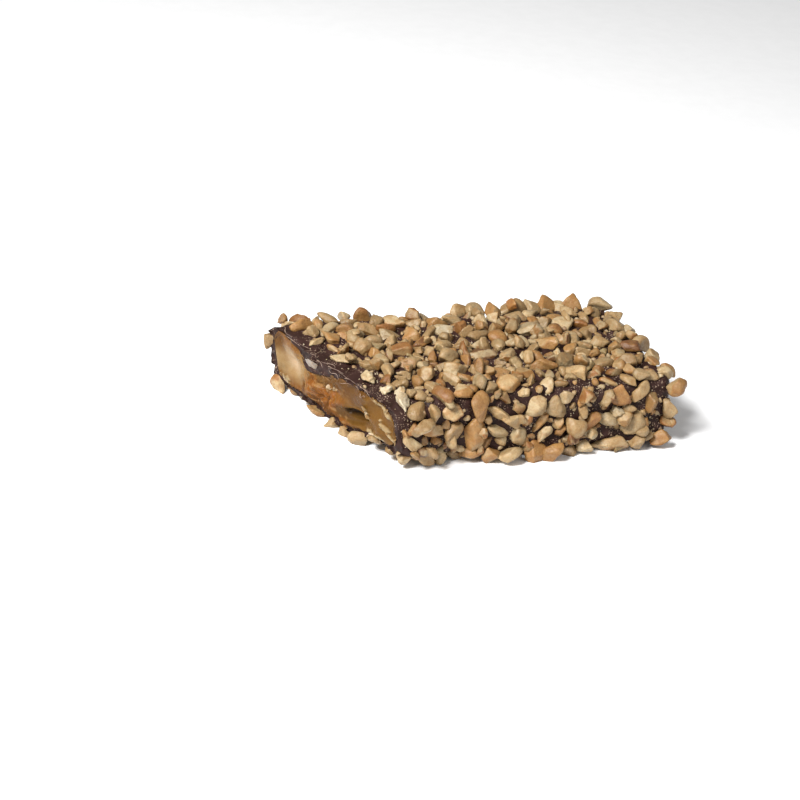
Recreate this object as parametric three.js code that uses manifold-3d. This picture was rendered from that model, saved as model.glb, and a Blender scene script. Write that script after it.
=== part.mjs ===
// A piece of nut brittle: a slab of hard butter toffee, coated in dark chocolate and rolled in chopped nuts.
// One end is whole and rounded. The other was cut askew, so that all three layers show there.
//
// Units are millimetres. +X runs along the piece to its whole end, +Y across it to its longer side, +Z up.
// The origin is at the middle of the underside's bounding rectangle.
//
// Every layer is a loft: rounded rectangles, one behind the other, from the cut face to the whole end.
// A layer that goes round another is cut out with that one's outline, GAP larger.
// The nuts are one solid: a thin skin over the chocolate, with chunks standing out of it.

import * as THREE from "three";
import { MeshSurfaceSampler } from "three/addons/math/MeshSurfaceSampler.js";
import { mergeVertices } from "three/addons/utils/BufferGeometryUtils.js";
import Module from "manifold-3d";

const wasm = await Module();
wasm.setup();

// ---- Driving dimensions ----

const LENGTH = 77; // over the nuts, along the longer side
const WIDTH = 40.5; // over the nuts, at the whole end
const HEIGHT = 16.6; // over the nuts
const FLARE = 2.3; // how far each side bulges out at the cut, where the knife pressed the piece flat
const FLARE_REACH = 26; // how far from the cut the bulge is felt

const NUTS_SIDE = 2.2; // the nuts' mean stand-out from the chocolate: at the sides and the whole end,
const NUTS_TOP = 1.9; // on the top,
const NUTS_UNDER = 1.7; // and underneath, where the piece rests on them
const CHOCOLATE_SIDE = 1.2; // the chocolate's thickness: at the sides,
const CHOCOLATE_END = 2.4; // at the whole end,
const CHOCOLATE_TOP = 2.3; // on the top,
const CHOCOLATE_UNDER = 1.3; // and underneath
const TOFFEE_CORNER = 2.6; // corner radius of the toffee's section
const GAP = 0.36; // between layers that touch
const OPEN_REACH = 8; // how far a layer's hollow is cut out past the cut, so that it is open there

const CUT_SKEW = 0.34; // how far the cut runs back for each millimetre across the piece
const CUT_RAKE = 0.2; // how far it overhangs for each millimetre of height
const CUT_MIDDLE = -29.6; // where it meets the underside's middle line, from the middle of LENGTH

const BARE_STRIP = 3.4; // chocolate left bare along the cut's top edge, where the knife knocked the nuts off
const BARE_SIDE = 0.8; // and along its other edges
const SKIN = 0.7; // thickness of what the nuts sit in
const NUT_SIZE = [[5.2, 8], [4, 5.8], [1.9, 2.8]]; // least and greatest length, width, thickness of a nut
const NUT_TILT = 0.22; // the most that one leans, in radians
const SPACING = 5.8; // least distance between the middles of two nuts
const REST_NUT = [8, 6.5, 5]; // size of the level one under the middle of the piece
const MOST_TRIES = 6000; // tries at placing a nut
const OVERHANG = 0.4; // how far a nut may stand out past the cut

const COLOURS = { toffee: 0xc79353, chocolate: 0x3b2a2b, nuts: 0xc0a071 };

// ---- Small helpers ----

const { clamp, lerp, smoothstep } = THREE.MathUtils;

/** A repeatable run of values from 0 to 1. */
let seed = 20;
function random() {
  seed = (seed * 16807) % 2147483647;
  return seed / 2147483647;
}

/** A bump of height 1 at centre that fades to nothing a few widths away. */
const bump = (at, centre, width) => Math.exp(-(((at - centre) / width) ** 2));

// ---- The cut ----

/** Where the plane of the cut lies at (y, z). */
const cutPlane = (y, z) => CUT_MIDDLE - CUT_SKEW * y - CUT_RAKE * z;

/** The toffee's snapped face, proud of (-) or behind (+) that plane: an uneven face with a hollow in it. */
function snapped(y, z) {
  const hollow = 2.0 * bump(y, -6.5, 3.2) * bump(z, 6.4, 1.9);
  const scoop = 0.8 * bump(y, 12, 4) * bump(z, 9, 3);
  const lip = -0.7 * bump(y, 1.5, 3) * bump(z, 5, 2.5) - 0.5 * bump(y, -14, 3) * bump(z, 8, 4);
  return hollow + scoop + lip + 0.25 * Math.sin(1.1 * y) * Math.sin(0.9 * z + 0.5);
}

// ---- Lofted layers ----

/**
 * The rounded rectangle of a layer, as points with outward normals, anticlockwise seen from the cut.
 * steps says how many edges lie along its width, along its height and round each corner.
 */
function section({ halfWidth, low, high, corner }, steps) {
  const halfHeight = (high - low) / 2;
  const radius = Math.min(corner, halfWidth, halfHeight);
  const y = halfWidth - radius;
  const z = halfHeight - radius;
  const middle = (high + low) / 2;
  const corners = [[y, z], [-y, z], [-y, -z], [y, -z]];
  const points = [];
  corners.forEach(([cy, cz], quarter) => {
    const [ny, nz] = corners[(quarter + 1) % 4];
    for (let i = 0; i <= steps.corner; i++) {
      const angle = (quarter + i / steps.corner) * (Math.PI / 2);
      const [c, s] = [Math.cos(angle), Math.sin(angle)];
      points.push({ y: cy + radius * c, z: middle + cz + radius * s, ny: c, nz: s });
    }
    const { ny: c, nz: s } = points.at(-1);
    const straight = quarter % 2 === 0 ? steps.width : steps.height;
    for (let i = 1; i < straight; i++) {
      const share = i / straight;
      points.push({
        y: lerp(cy, ny, share) + radius * c,
        z: middle + lerp(cz, nz, share) + radius * s,
        ny: c,
        nz: s,
      });
    }
  });
  return points;
}

/** The section taken in by inset all round. */
const takenIn = (shape, inset) => ({
  halfWidth: shape.halfWidth - inset,
  low: shape.low + inset,
  high: shape.high - inset,
  corner: Math.max(shape.corner - inset, 0.2),
});

/** The section drawn in to its middle line: share 1 is the outline itself, 0 the line. */
function drawnIn(points, shape, share) {
  const reach = shape.halfWidth - (shape.high - shape.low) / 2;
  const middle = (shape.high + shape.low) / 2;
  return points.map((p) => ({
    ...p,
    y: lerp(clamp(p.y, -reach, reach), p.y, share),
    z: lerp(middle, p.z, share),
  }));
}

/** A closed surface through rings of points, whose first and last rings are drawn in to a line. */
function loft(rings) {
  const count = rings[0].length;
  const index = [];
  for (let ring = 0; ring + 1 < rings.length; ring++) {
    for (let i = 0; i < count; i++) {
      const a = ring * count + i;
      const b = ring * count + ((i + 1) % count);
      index.push(a, b, a + count, b, b + count, a + count);
    }
  }
  const geometry = new THREE.BufferGeometry().setFromPoints(rings.flat());
  geometry.setIndex(index);
  return geometry;
}

/**
 * One layer's outer surface, from the cut to the whole end.
 *   shape     its section at the whole end
 *   end       where its whole end lies, and endRadius how round that end is
 *   face      (y, z) => x of its cut face
 *   relief    (point, normal) => how far the surface stands out there
 *   steps     how finely it is divided
 *   reach     how far it runs out past its cut face, for a cutter
 */
function layer({ shape, end, endRadius, face, relief, steps, reach = 0 }) {
  const flared = (x) => FLARE * smoothstep(-x, -(cutPlane(0, 0) + FLARE_REACH), -cutPlane(0, 0));
  const place = (p, x) => {
    const normal = new THREE.Vector3(0, p.ny, p.nz);
    const wide = p.y * (1 + flared(x) / shape.halfWidth);
    const point = new THREE.Vector3(x, wide, p.z);
    return point.addScaledVector(normal, relief(point, normal));
  };
  const outline = section(shape, steps);
  const rings = [];
  for (let i = 0; i < steps.face; i++) {
    const ring = drawnIn(outline, shape, i / steps.face);
    const wide = 1 + FLARE / shape.halfWidth;
    rings.push(ring.map((p) => new THREE.Vector3(face(p.y, p.z) - reach, p.y * wide, p.z)));
  }
  const stations = outline.map((p) => ({ p, x: face(p.y, p.z) }));
  if (reach) rings.push(stations.map(({ p, x }) => place(p, x).add(new THREE.Vector3(-reach, 0, 0))));
  for (let i = 0; i <= steps.length; i++) {
    rings.push(stations.map(({ p, x }) => place(p, lerp(x, end - endRadius, i / steps.length))));
  }
  for (let i = 1; i <= steps.round; i++) {
    const angle = ((i / steps.round) * Math.PI) / 2;
    const x = end - endRadius * (1 - Math.sin(angle));
    const smaller = section(takenIn(shape, endRadius * (1 - Math.cos(angle))), steps);
    rings.push(
      smaller.map((p) => {
        const normal = new THREE.Vector3(Math.sin(angle), Math.cos(angle) * p.ny, Math.cos(angle) * p.nz);
        const point = new THREE.Vector3(x, p.y, p.z);
        return point.addScaledVector(normal, relief(point, normal));
      }),
    );
  }
  const last = takenIn(shape, endRadius);
  const flat = section(last, steps);
  for (let i = steps.face - 1; i >= 0; i--) {
    const normal = new THREE.Vector3(1, 0, 0);
    rings.push(
      drawnIn(flat, last, i / steps.face).map((p) => {
        const point = new THREE.Vector3(end, p.y, p.z);
        return point.addScaledVector(normal, relief(point, normal));
      }),
    );
  }
  return loft(rings);
}

// ---- Booleans ----

function toSolid(geometry) {
  const merged = mergeVertices(geometry, 1e-4);
  return new wasm.Manifold(
    new wasm.Mesh({
      numProp: 3,
      vertProperties: merged.getAttribute("position").array,
      triVerts: new Uint32Array(merged.index.array),
    }),
  );
}

function toGeometry(solid) {
  const { vertProperties, triVerts } = solid.getMesh();
  const geometry = new THREE.BufferGeometry();
  geometry.setAttribute("position", new THREE.BufferAttribute(new Float32Array(vertProperties), 3));
  geometry.setIndex(new THREE.BufferAttribute(new Uint32Array(triVerts), 1));
  geometry.computeVertexNormals();
  return geometry;
}

// ---- The three layers ----

const halfLength = LENGTH / 2;

const nutShape = { halfWidth: WIDTH / 2, low: 0, high: HEIGHT, corner: 5.2 };
const chocolateShape = {
  halfWidth: nutShape.halfWidth - NUTS_SIDE,
  low: NUTS_UNDER,
  high: HEIGHT - NUTS_TOP,
  corner: 3.6,
};
const toffeeShape = {
  halfWidth: chocolateShape.halfWidth - CHOCOLATE_SIDE,
  low: chocolateShape.low + CHOCOLATE_UNDER,
  high: chocolateShape.high - CHOCOLATE_TOP,
  corner: TOFFEE_CORNER,
};
const grownBy = (shape, extra) => takenIn(shape, -extra);

/** The poured slab's top is uneven: a trough that fills with chocolate, between two swells. */
function slabRelief(point, normal) {
  const top = clamp(normal.z, 0, 1);
  const along = 0.75 + 0.25 * Math.cos(0.11 * (point.x + 34));
  const trough = -1.9 * bump(point.y, 6.5, 3.6);
  const swells = 1.5 * bump(point.y, 15.5, 2.6) + 1.0 * bump(point.y, -8, 7);
  return top * along * (trough + swells) + 0.15 * Math.sin(0.5 * point.x + 0.4 * point.y);
}

/** Chocolate flows, so its skin is only gently uneven. */
function coatRelief(point) {
  const swell = Math.sin(0.42 * point.x + 0.6) * Math.sin(0.37 * point.y + 1.1);
  const ripple = Math.sin(0.9 * point.x - 0.7 * point.z);
  return 0.22 * swell + 0.12 * ripple;
}

/** The whole slab of toffee, proud of its cut face or grown by extra as a cutter for the chocolate. */
function toffee(extra = 0, reach = 0) {
  const shape = grownBy(toffeeShape, extra);
  return toSolid(
    layer({
      shape,
      end: halfLength - NUTS_SIDE - CHOCOLATE_END + extra,
      endRadius: 2.6,
      face: (y, z) => cutPlane(y, z) + snapped(y, z),
      relief: slabRelief,
      reach,
      steps: { width: 10, height: 2, corner: 2, face: 3, length: 7, round: 2 },
    }),
  );
}

/** The chocolate's outer surface, closed, or grown by extra as a cutter for the nuts. */
function coat(extra = 0, reach = 0) {
  return toSolid(
    layer({
      shape: grownBy(chocolateShape, extra),
      end: halfLength - NUTS_SIDE + extra,
      endRadius: 3.6,
      face: (y, z) => cutPlane(y, z) + 0.3 * Math.sin(0.8 * y) * Math.cos(0.5 * z),
      relief: coatRelief,
      reach,
      steps: { width: 8, height: 2, corner: 2, face: 1, length: 9, round: 2 },
    }),
  );
}

/** The skin of chocolate and crumbs that the nuts sit in. It stops short of the cut, further back on top. */
function skin() {
  const bare = (z) => lerp(BARE_SIDE, BARE_STRIP, smoothstep(z, HEIGHT - 5, HEIGHT - 2));
  return layer({
    shape: grownBy(chocolateShape, GAP + SKIN),
    end: halfLength - NUTS_SIDE + GAP + SKIN,
    endRadius: 4,
    face: (y, z) => cutPlane(y, z) + bare(z) + 0.5 * Math.sin(0.9 * y + 0.4 * z),
    relief: coatRelief,
    steps: { width: 8, height: 2, corner: 3, face: 1, length: 9, round: 2 },
  });
}

/** One chopped nut: a chunk with six uneven faces, size long, wide and thick, lying on a surface. */
function choppedNut(point, normal, size, tilt = NUT_TILT) {
  const chunk = new THREE.BoxGeometry(...size);
  chunk.deleteAttribute("normal");
  chunk.deleteAttribute("uv");
  const merged = mergeVertices(chunk);
  const corners = merged.getAttribute("position");
  for (let i = 0; i < corners.count; i++) {
    const keep = () => 1 - 0.45 * random();
    corners.setXYZ(i, corners.getX(i) * keep(), corners.getY(i) * keep(), corners.getZ(i) * keep());
  }
  const lie = new THREE.Quaternion().setFromUnitVectors(new THREE.Vector3(0, 0, 1), normal);
  const turn = new THREE.Quaternion().setFromEuler(
    new THREE.Euler(tilt * (2 * random() - 1), tilt * (2 * random() - 1), 2 * Math.PI * random()),
  );
  merged.applyQuaternion(lie.multiply(turn)).translate(point.x, point.y, point.z);
  for (let i = 0; i < corners.count; i++) corners.setZ(i, Math.max(corners.getZ(i), 0));
  return toSolid(merged);
}

/** The chopped nuts, spread over the skin with SPACING between their middles, and joined to it. */
function nuts() {
  const surface = skin();
  const sampler = new MeshSurfaceSampler(new THREE.Mesh(surface)).setRandomGenerator(random).build();
  const down = new THREE.Vector3(0, 0, -1);
  const places = [{ point: new THREE.Vector3(0, 0, chocolateShape.low - SKIN), normal: down }];
  const chunks = [choppedNut(places[0].point, down, REST_NUT, 0)];
  for (let tries = 0; tries < MOST_TRIES; tries++) {
    const [point, normal] = [new THREE.Vector3(), new THREE.Vector3()];
    sampler.sample(point, normal);
    const nearCut = point.x < cutPlane(point.y, point.z) + 1.8;
    if (nearCut || places.some((other) => other.point.distanceTo(point) < SPACING)) continue;
    places.push({ point, normal });
    const size = NUT_SIZE.map(([least, most]) => lerp(least, most, random()));
    chunks.push(choppedNut(point, normal, size));
  }
  const across = new THREE.Vector3(1, CUT_SKEW, CUT_RAKE);
  const knife = (CUT_MIDDLE - OVERHANG) / across.length();
  return wasm.Manifold.union([toSolid(surface), ...chunks]).trimByPlane(across.normalize().toArray(), knife);
}

const layers = {
  toffee_core: { solid: toffee(), colour: COLOURS.toffee, roughness: 0.35 },
  chocolate_coat: {
    solid: coat().subtract(toffee(GAP, OPEN_REACH)),
    colour: COLOURS.chocolate,
    roughness: 0.5,
  },
  nut_coat: {
    solid: nuts().subtract(coat(GAP, OPEN_REACH)),
    colour: COLOURS.nuts,
    roughness: 0.75,
  },
};

// ---- The piece ----

const piece = new THREE.Group();
for (const [name, { solid, colour, roughness }] of Object.entries(layers)) {
  const material = new THREE.MeshStandardMaterial({ color: colour, roughness, metalness: 0 });
  const mesh = new THREE.Mesh(toGeometry(solid), material);
  mesh.name = name;
  piece.add(mesh);
}
const box = new THREE.Box3().setFromObject(piece);
const middle = box.getCenter(new THREE.Vector3());
piece.position.set(-middle.x, -middle.y, -box.min.z);

export default piece;
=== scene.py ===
"""A piece of nut brittle: hard butter toffee in dark chocolate, rolled in chopped roasted nuts.

One end is whole and rounded. The other was cut askew, so that the toffee and the chocolate round it show.
The piece is worked out in millimetres in the working frame below, and becomes metres in add_piece.
"""

import math
from typing import NamedTuple

import bmesh
import bpy
import numpy as np
from mathutils import Matrix, Vector
from mathutils.kdtree import KDTree


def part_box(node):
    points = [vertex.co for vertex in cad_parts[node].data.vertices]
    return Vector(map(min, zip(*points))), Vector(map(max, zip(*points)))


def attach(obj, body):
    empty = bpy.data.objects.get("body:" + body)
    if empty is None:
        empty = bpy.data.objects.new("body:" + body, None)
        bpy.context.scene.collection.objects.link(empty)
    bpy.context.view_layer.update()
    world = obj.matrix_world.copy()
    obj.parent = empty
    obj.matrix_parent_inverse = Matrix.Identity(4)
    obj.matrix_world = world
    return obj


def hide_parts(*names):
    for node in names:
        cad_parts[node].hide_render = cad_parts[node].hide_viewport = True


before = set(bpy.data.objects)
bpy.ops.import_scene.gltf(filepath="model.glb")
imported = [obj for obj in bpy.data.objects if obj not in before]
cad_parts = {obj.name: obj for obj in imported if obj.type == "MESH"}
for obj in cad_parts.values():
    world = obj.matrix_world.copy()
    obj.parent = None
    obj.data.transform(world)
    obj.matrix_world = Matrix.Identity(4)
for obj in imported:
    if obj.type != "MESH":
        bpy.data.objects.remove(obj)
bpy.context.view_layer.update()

MM = 0.001
MERGED = 1e-6  # metres: points nearer than this are one

# ---- The working frame: x runs to the whole end, y to the longer side, z up from the table ----

END_X = 36.45  # the chocolate's whole end
MIDDLE_Y = 0.17  # the middle of the chocolate's width
coat_low, coat_high = (np.array(corner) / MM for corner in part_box("chocolate_coat"))
coat_middle = (coat_low + coat_high) / 2
HOME = np.array([coat_high[0] - END_X, coat_middle[1] - MIDDLE_Y, 0.0])  # the origin, in the CAD frame

# ---- Sizes ----

FLARE, FLARE_REACH = 2.3, 26.0  # each side bulges out towards the cut
CUT_MIDDLE, CUT_SKEW, CUT_RAKE = -29.6, 0.34, 0.2  # the plane of the cut
CUT_FADE = 9.0  # how far from the cut its uneven outline is felt
FOOT = (1.3, 0.9)  # how far out and down the chocolate ran at the foot of the near side
BARE_STRIP = 4.0  # chocolate without nuts along the cut's top edge


class Section(NamedTuple):
    """A rounded rectangle, carried along x to a rounded end. At the cut, top and under are its outline."""

    half_width: float
    low: float
    high: float
    corner: float
    end: float
    end_radius: float
    top: list  # (y, z)
    under: list

    @property
    def middle(self):
        return (self.high + self.low) / 2

    @property
    def half_height(self):
        return (self.high - self.low) / 2

    def taken_in(self, inset):
        """The same section, smaller by inset all round."""
        return self._replace(
            half_width=self.half_width - inset,
            low=self.low + inset,
            high=self.high - inset,
            corner=max(self.corner - inset, 0.1),
        )


COAT = Section(
    half_width=18.5, low=1.6, high=14.9, corner=2.8, end=37.5, end_radius=2.6,
    top=[(-22, 14.4), (-6, 14.4), (4, 14.3), (10, 15.0), (14, 16.0), (18, 15.9), (22, 15.0)],
    under=[(-22, 3.4), (-10, 3.2), (-4, 1.6), (4, 1.3), (22, 1.7)],
)

# The toffee. The chocolate fills the trough in its top.
SLAB = Section(
    half_width=16.85, low=3.0, high=12.4, corner=2.6, end=33.9, end_radius=2.6,
    top=[(-20, 13.3), (-13, 13.6), (-6, 13.5), (-2, 12.8), (2, 11.5), (6, 10.3), (8.4, 10.2), (10, 13.5),
         (14, 14.4), (17, 14.8), (20, 14.0)],
    under=[(-20, 4.6), (-10, 4.4), (-5, 2.7), (-2, 2.1), (3, 2.7), (20, 2.8)],
)

# ---- Small helpers ----


def smoothstep(value, start, end):
    """0 before start and 1 past end, smoothly."""
    share = np.clip((value - start) / (end - start), 0, 1)
    return share * share * (3 - 2 * share)


def bump(value, centre, width):
    """1 at centre, fading to 0 within about twice width."""
    return np.exp(-(((value - centre) / width) ** 2))


def along(points, y):
    """The smooth curve through a short list of (y, z)."""
    ys, zs = np.array(points).T
    steps = np.linspace(-0.8, 0.8, 5)
    return sum(np.interp(y + step, ys, zs) for step in steps) / len(steps)


def waves(points, size, seed, count=10):
    """Smooth repeatable noise, about -1 to 1, whose lumps are about size across."""
    rng = np.random.default_rng(seed)
    directions = unit(rng.normal(size=(count, 3)))
    lengths = 2 * size * rng.uniform(0.7, 1.5, count)
    phases = rng.uniform(0, 2 * math.pi, count)
    swings = np.sin(points @ (2 * math.pi * directions / lengths[:, None]).T + phases)
    return swings.sum(axis=1) * math.sqrt(2 / count) * 0.6


def colour(red, green, blue):
    """An sRGB colour, 0 to 255, as linear values."""
    value = np.array([red, green, blue]) / 255
    return np.where(value <= 0.04045, value / 12.92, ((value + 0.055) / 1.055) ** 2.4)


def mix(a, b, share):
    share = np.asarray(share)[..., None]
    return a * (1 - share) + b * share


def unit(vectors):
    return vectors / np.maximum(np.linalg.norm(vectors, axis=-1, keepdims=True), 1e-9)


def add_object(name, data):
    thing = bpy.data.objects.new(name, data)
    bpy.context.scene.collection.objects.link(thing)
    return thing


def add_piece(name, points, faces, node, material, colours=None):
    """A mesh piece from points in millimetres in the working frame, with a colour for each point."""
    mesh = bpy.data.meshes.new(name)
    places = (points + HOME) * MM
    mesh.from_pydata(places.tolist(), [], faces)
    if colours is not None:
        attribute = mesh.color_attributes.new("tint", "FLOAT_COLOR", "POINT")
        values = np.ones((len(points), 4), dtype=np.float32)
        values[:, :3] = colours
        attribute.data.foreach_set("color", values.ravel())
    mesh.shade_smooth()
    mesh.update()
    mesh.materials.append(material)
    piece = add_object(name, mesh)
    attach(piece, "root")
    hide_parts(node)
    return piece


# ---- Lofted shapes ----

AROUND = 264  # points round each ring


def outline(section, count):
    """count points evenly round the section, from the middle of its near side, as y and z."""
    radius = min(section.corner, section.half_height)
    y, z = section.half_width - radius, section.half_height - radius
    turn = np.linspace(0, math.pi / 2, 25)
    rows = [(-section.half_width, section.middle)]
    for quarter, (cy, cz) in enumerate([(-y, -z), (y, -z), (y, z), (-y, z)], start=2):
        for angle in quarter * math.pi / 2 + turn:
            rows.append((cy + radius * math.cos(angle), section.middle + cz + radius * math.sin(angle)))
    rows.append(rows[0])
    rows = np.array(rows)
    length = np.concatenate([[0], np.cumsum(np.linalg.norm(np.diff(rows, axis=0), axis=1))])
    at = np.linspace(0, length[-1], count, endpoint=False)
    return np.stack([np.interp(at, length, column) for column in rows.T], axis=1)


def cut_x(y, z):
    return CUT_MIDDLE - CUT_SKEW * y - CUT_RAKE * z


def flare_at(x, section):
    """How many times wider the section is at x: its sides bulge out towards the cut."""
    share = smoothstep(-x, -(cut_x(0, 0) + FLARE_REACH), -cut_x(0, 0))
    return 1 + FLARE * share / section.half_width


def uneven(points, section):
    """Near the cut, the section's top and underside follow their own curves."""
    y, z = points[..., 1], points[..., 2]
    near = np.exp(-np.maximum(points[..., 0] - cut_x(y, z), 0) / CUT_FADE)
    rise = along(section.top, y) - section.high
    drop = along(section.under, y) - section.low
    high_share = np.clip((z - section.middle) / section.half_height, 0, 1)
    low_share = np.clip((section.middle - z) / section.half_height, 0, 1)
    points[..., 2] = z + near * (rise * high_share + drop * low_share)


def loft_rings(section, stations, rounds, flat):
    """Rings of points from the cut to the whole end, the last one drawn in to the middle line."""
    y, z = outline(section, AROUND).T
    start = cut_x(y * (1 + FLARE / section.half_width), z)
    rings = []
    for share in np.linspace(0, 1, stations):
        x = start + (section.end - section.end_radius - start) * share
        rings.append(np.stack([x, y, z], axis=1))
    for turn in np.linspace(0, math.pi / 2, rounds + 1)[1:]:
        inner = outline(section.taken_in(section.end_radius * (1 - math.cos(turn))), AROUND)
        x = np.full(AROUND, section.end - section.end_radius * (1 - math.sin(turn)))
        rings.append(np.column_stack([x, inner]))
    rings = np.array(rings)
    rings[..., 1] *= flare_at(rings[..., 0], section)
    uneven(rings, section)
    last = rings[-1]
    reach = section.half_width - section.half_height
    line = [last[:, 0], np.clip(last[:, 1], -reach, reach), np.full(AROUND, section.middle)]
    closing = [last + (np.stack(line, axis=1) - last) * share for share in np.linspace(0, 1, flat + 1)[1:]]
    return np.concatenate([rings, np.array(closing)])


def ring_faces(rings):
    """The quads between rings, given as a grid of the numbers of their points."""
    after = np.roll(rings, -1, axis=1)
    corners = rings[:-1], after[:-1], after[1:], rings[1:]
    return np.stack([corner.ravel() for corner in corners], axis=1)


def normals_of(rings):
    """The outward normal at each point of a grid of rings."""
    forward = np.gradient(rings, axis=0)
    around = np.roll(rings, -1, axis=1) - np.roll(rings, 1, axis=1)
    return unit(np.cross(around, forward))


def tidy(piece):
    """Merges the points that fell together and drops the faces that vanished."""
    work = bmesh.new()
    work.from_mesh(piece.data)
    bmesh.ops.remove_doubles(work, verts=work.verts, dist=MERGED)
    bmesh.ops.dissolve_degenerate(work, edges=work.edges, dist=MERGED)
    bmesh.ops.recalc_face_normals(work, faces=work.faces)
    work.to_mesh(piece.data)
    work.free()
    piece.data.shade_smooth()


# ---- Materials ----


class Nodes:
    """A new node material, with short ways to add and join its nodes."""

    def __init__(self, name):
        self.material = bpy.data.materials.new(name)
        self.material.use_nodes = True
        self.tree = self.material.node_tree
        self.shader = self.tree.nodes["Principled BSDF"]
        self.place = self.add("ShaderNodeTexCoord").outputs["Object"]

    def add(self, kind, **settings):
        node = self.tree.nodes.new(kind)
        for name, value in settings.items():
            setattr(node, name, value)
        return node

    def feed(self, socket, value):
        """Joins value to the socket if it is a socket too, or else sets it: a number, vector or colour."""
        if isinstance(value, bpy.types.NodeSocket):
            self.tree.links.new(value, socket)
        else:
            socket.default_value = (*value, 1.0) if socket.type == "RGBA" else value

    def noise(self, size, detail, stretch=None):
        """Noise, 0 to 1, whose lumps are about size millimetres across."""
        node = self.add("ShaderNodeTexNoise")
        node.inputs["Scale"].default_value = 1 / (size * MM)
        node.inputs["Detail"].default_value = detail
        place = self.place
        if stretch:
            mapping = self.add("ShaderNodeMapping")
            for name, value in zip(("Vector", "Rotation", "Scale"), (place, *stretch)):
                self.feed(mapping.inputs[name], value)
            place = mapping.outputs["Vector"]
        self.feed(node.inputs["Vector"], place)
        return node.outputs["Fac"]

    def between(self, source, start, end, low=0.0, high=1.0):
        """source from start to end, smoothly, as low to high."""
        node = self.add("ShaderNodeMapRange", interpolation_type="SMOOTHSTEP")
        names = ("Value", "From Min", "From Max", "To Min", "To Max")
        for name, value in zip(names, (source, start, end, low, high)):
            self.feed(node.inputs[name], value)
        return node.outputs["Result"]

    def math(self, operation, a, b):
        node = self.add("ShaderNodeMath", operation=operation)
        self.feed(node.inputs[0], a)
        self.feed(node.inputs[1], b)
        return node.outputs["Value"]

    def blend(self, share, a, b, mode="MIX"):
        """Colour a, going over to colour b."""
        node = self.add("ShaderNodeMix", data_type="RGBA", blend_type=mode)
        for number, value in ((0, share), (6, a), (7, b)):
            self.feed(node.inputs[number], value)
        return node.outputs[2]

    def tint(self):
        return self.add("ShaderNodeVertexColor", layer_name="tint").outputs["Color"]

    def bump(self, height, depth, below=None):
        """height, 0 to 1, as a relief depth millimetres deep."""
        node = self.add("ShaderNodeBump")
        node.inputs["Distance"].default_value = depth * MM
        self.feed(node.inputs["Height"], height)
        if below:
            self.feed(node.inputs["Normal"], below)
        return node.outputs["Normal"]

    def set(self, **values):
        """Sets the shader's inputs, whose names are written with underscores."""
        for name, value in values.items():
            self.feed(self.shader.inputs[name.replace("_", " ")], value)


def nut_material():
    """Roasted nut: matte, with a fine grain, darker specks and a little light let through."""
    n = Nodes("roasted_nut")
    grain = n.noise(0.35, detail=5)
    blotch = n.noise(1.3, detail=3)
    specks = n.noise(0.22, detail=2)
    toasted, worn, dark = (0.84, 0.72, 0.56), (0.78, 0.70, 0.58), (0.25, 0.14, 0.06)
    toned = n.blend(n.between(blotch, 0.35, 0.7, 0, 0.8), n.tint(), toasted, "MULTIPLY")
    fine = n.blend(n.between(grain, 0.35, 0.65, 0, 0.6), toned, worn, "MULTIPLY")
    speckled = n.blend(n.between(specks, 0.66, 0.74, 0, 0.4), fine, dark)
    n.set(
        Base_Color=speckled,
        Roughness=n.between(blotch, 0.3, 0.7, 0.42, 0.64),
        Subsurface_Weight=0.12,
        Subsurface_Radius=(1.0, 0.55, 0.3),
        Subsurface_Scale=0.6 * MM,
        Specular_IOR_Level=0.4,
        Normal=n.bump(grain, 0.14, below=n.bump(blotch, 0.2)),
    )
    return n.material


def chocolate_material():
    """Dark chocolate: semi-matte, with pale scuffs, scratches and nut dust."""
    n = Nodes("dark_chocolate")
    cloud = n.noise(2.4, detail=4)
    dust = n.noise(0.28, detail=3)
    patch = n.noise(3.2, detail=2)
    scratch = n.noise(1.6, detail=4, stretch=((0.3, 0.2, 0.9), (0.14, 1.6, 1.6)))
    base = n.blend(n.between(cloud, 0.3, 0.7), colour(34, 20, 16), colour(51, 33, 29))
    dusty = n.math("MULTIPLY", n.between(dust, 0.60, 0.67), n.between(patch, 0.45, 0.60, 0.0, 0.85))
    scratched = n.between(scratch, 0.70, 0.74, 0, 0.35)
    pale = n.math("MAXIMUM", dusty, scratched)
    n.set(
        Base_Color=n.blend(pale, base, colour(176, 152, 130)),
        Roughness=n.between(cloud, 0.3, 0.7, 0.42, 0.58),
        Specular_IOR_Level=0.1,
        Normal=n.bump(dust, 0.05, below=n.bump(cloud, 0.12)),
    )
    return n.material


def shaving_material():
    """Dry chocolate, scraped pale."""
    n = Nodes("scraped_chocolate")
    cloud = n.noise(0.6, detail=3)
    n.set(
        Base_Color=n.blend(n.between(cloud, 0.3, 0.7), colour(88, 68, 60), colour(156, 132, 114)),
        Roughness=0.6,
        Normal=n.bump(cloud, 0.05),
    )
    return n.material


def toffee_material():
    """Hard toffee: light passes into it, and its torn face shines a little."""
    n = Nodes("butter_toffee")
    cloud = n.noise(1.8, detail=2)
    crystal = n.noise(0.3, detail=1)
    browned, sugary = (0.84, 0.70, 0.50), (0.84, 0.66, 0.46)
    toned = n.blend(n.between(cloud, 0.35, 0.68, 0, 0.5), n.tint(), browned, "MULTIPLY")
    fine = n.blend(n.between(crystal, 0.4, 0.68, 0, 0.3), toned, sugary, "MULTIPLY")
    n.set(
        Base_Color=fine,
        Roughness=n.between(crystal, 0.35, 0.65, 0.34, 0.55),
        IOR=1.3,
        Subsurface_Weight=0.25,
        Subsurface_Radius=(1.0, 0.7, 0.4),
        Subsurface_Scale=0.8 * MM,
        Specular_IOR_Level=0.2,
        Normal=n.bump(crystal, 0.015, below=n.bump(cloud, 0.10)),
    )
    return n.material


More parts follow.
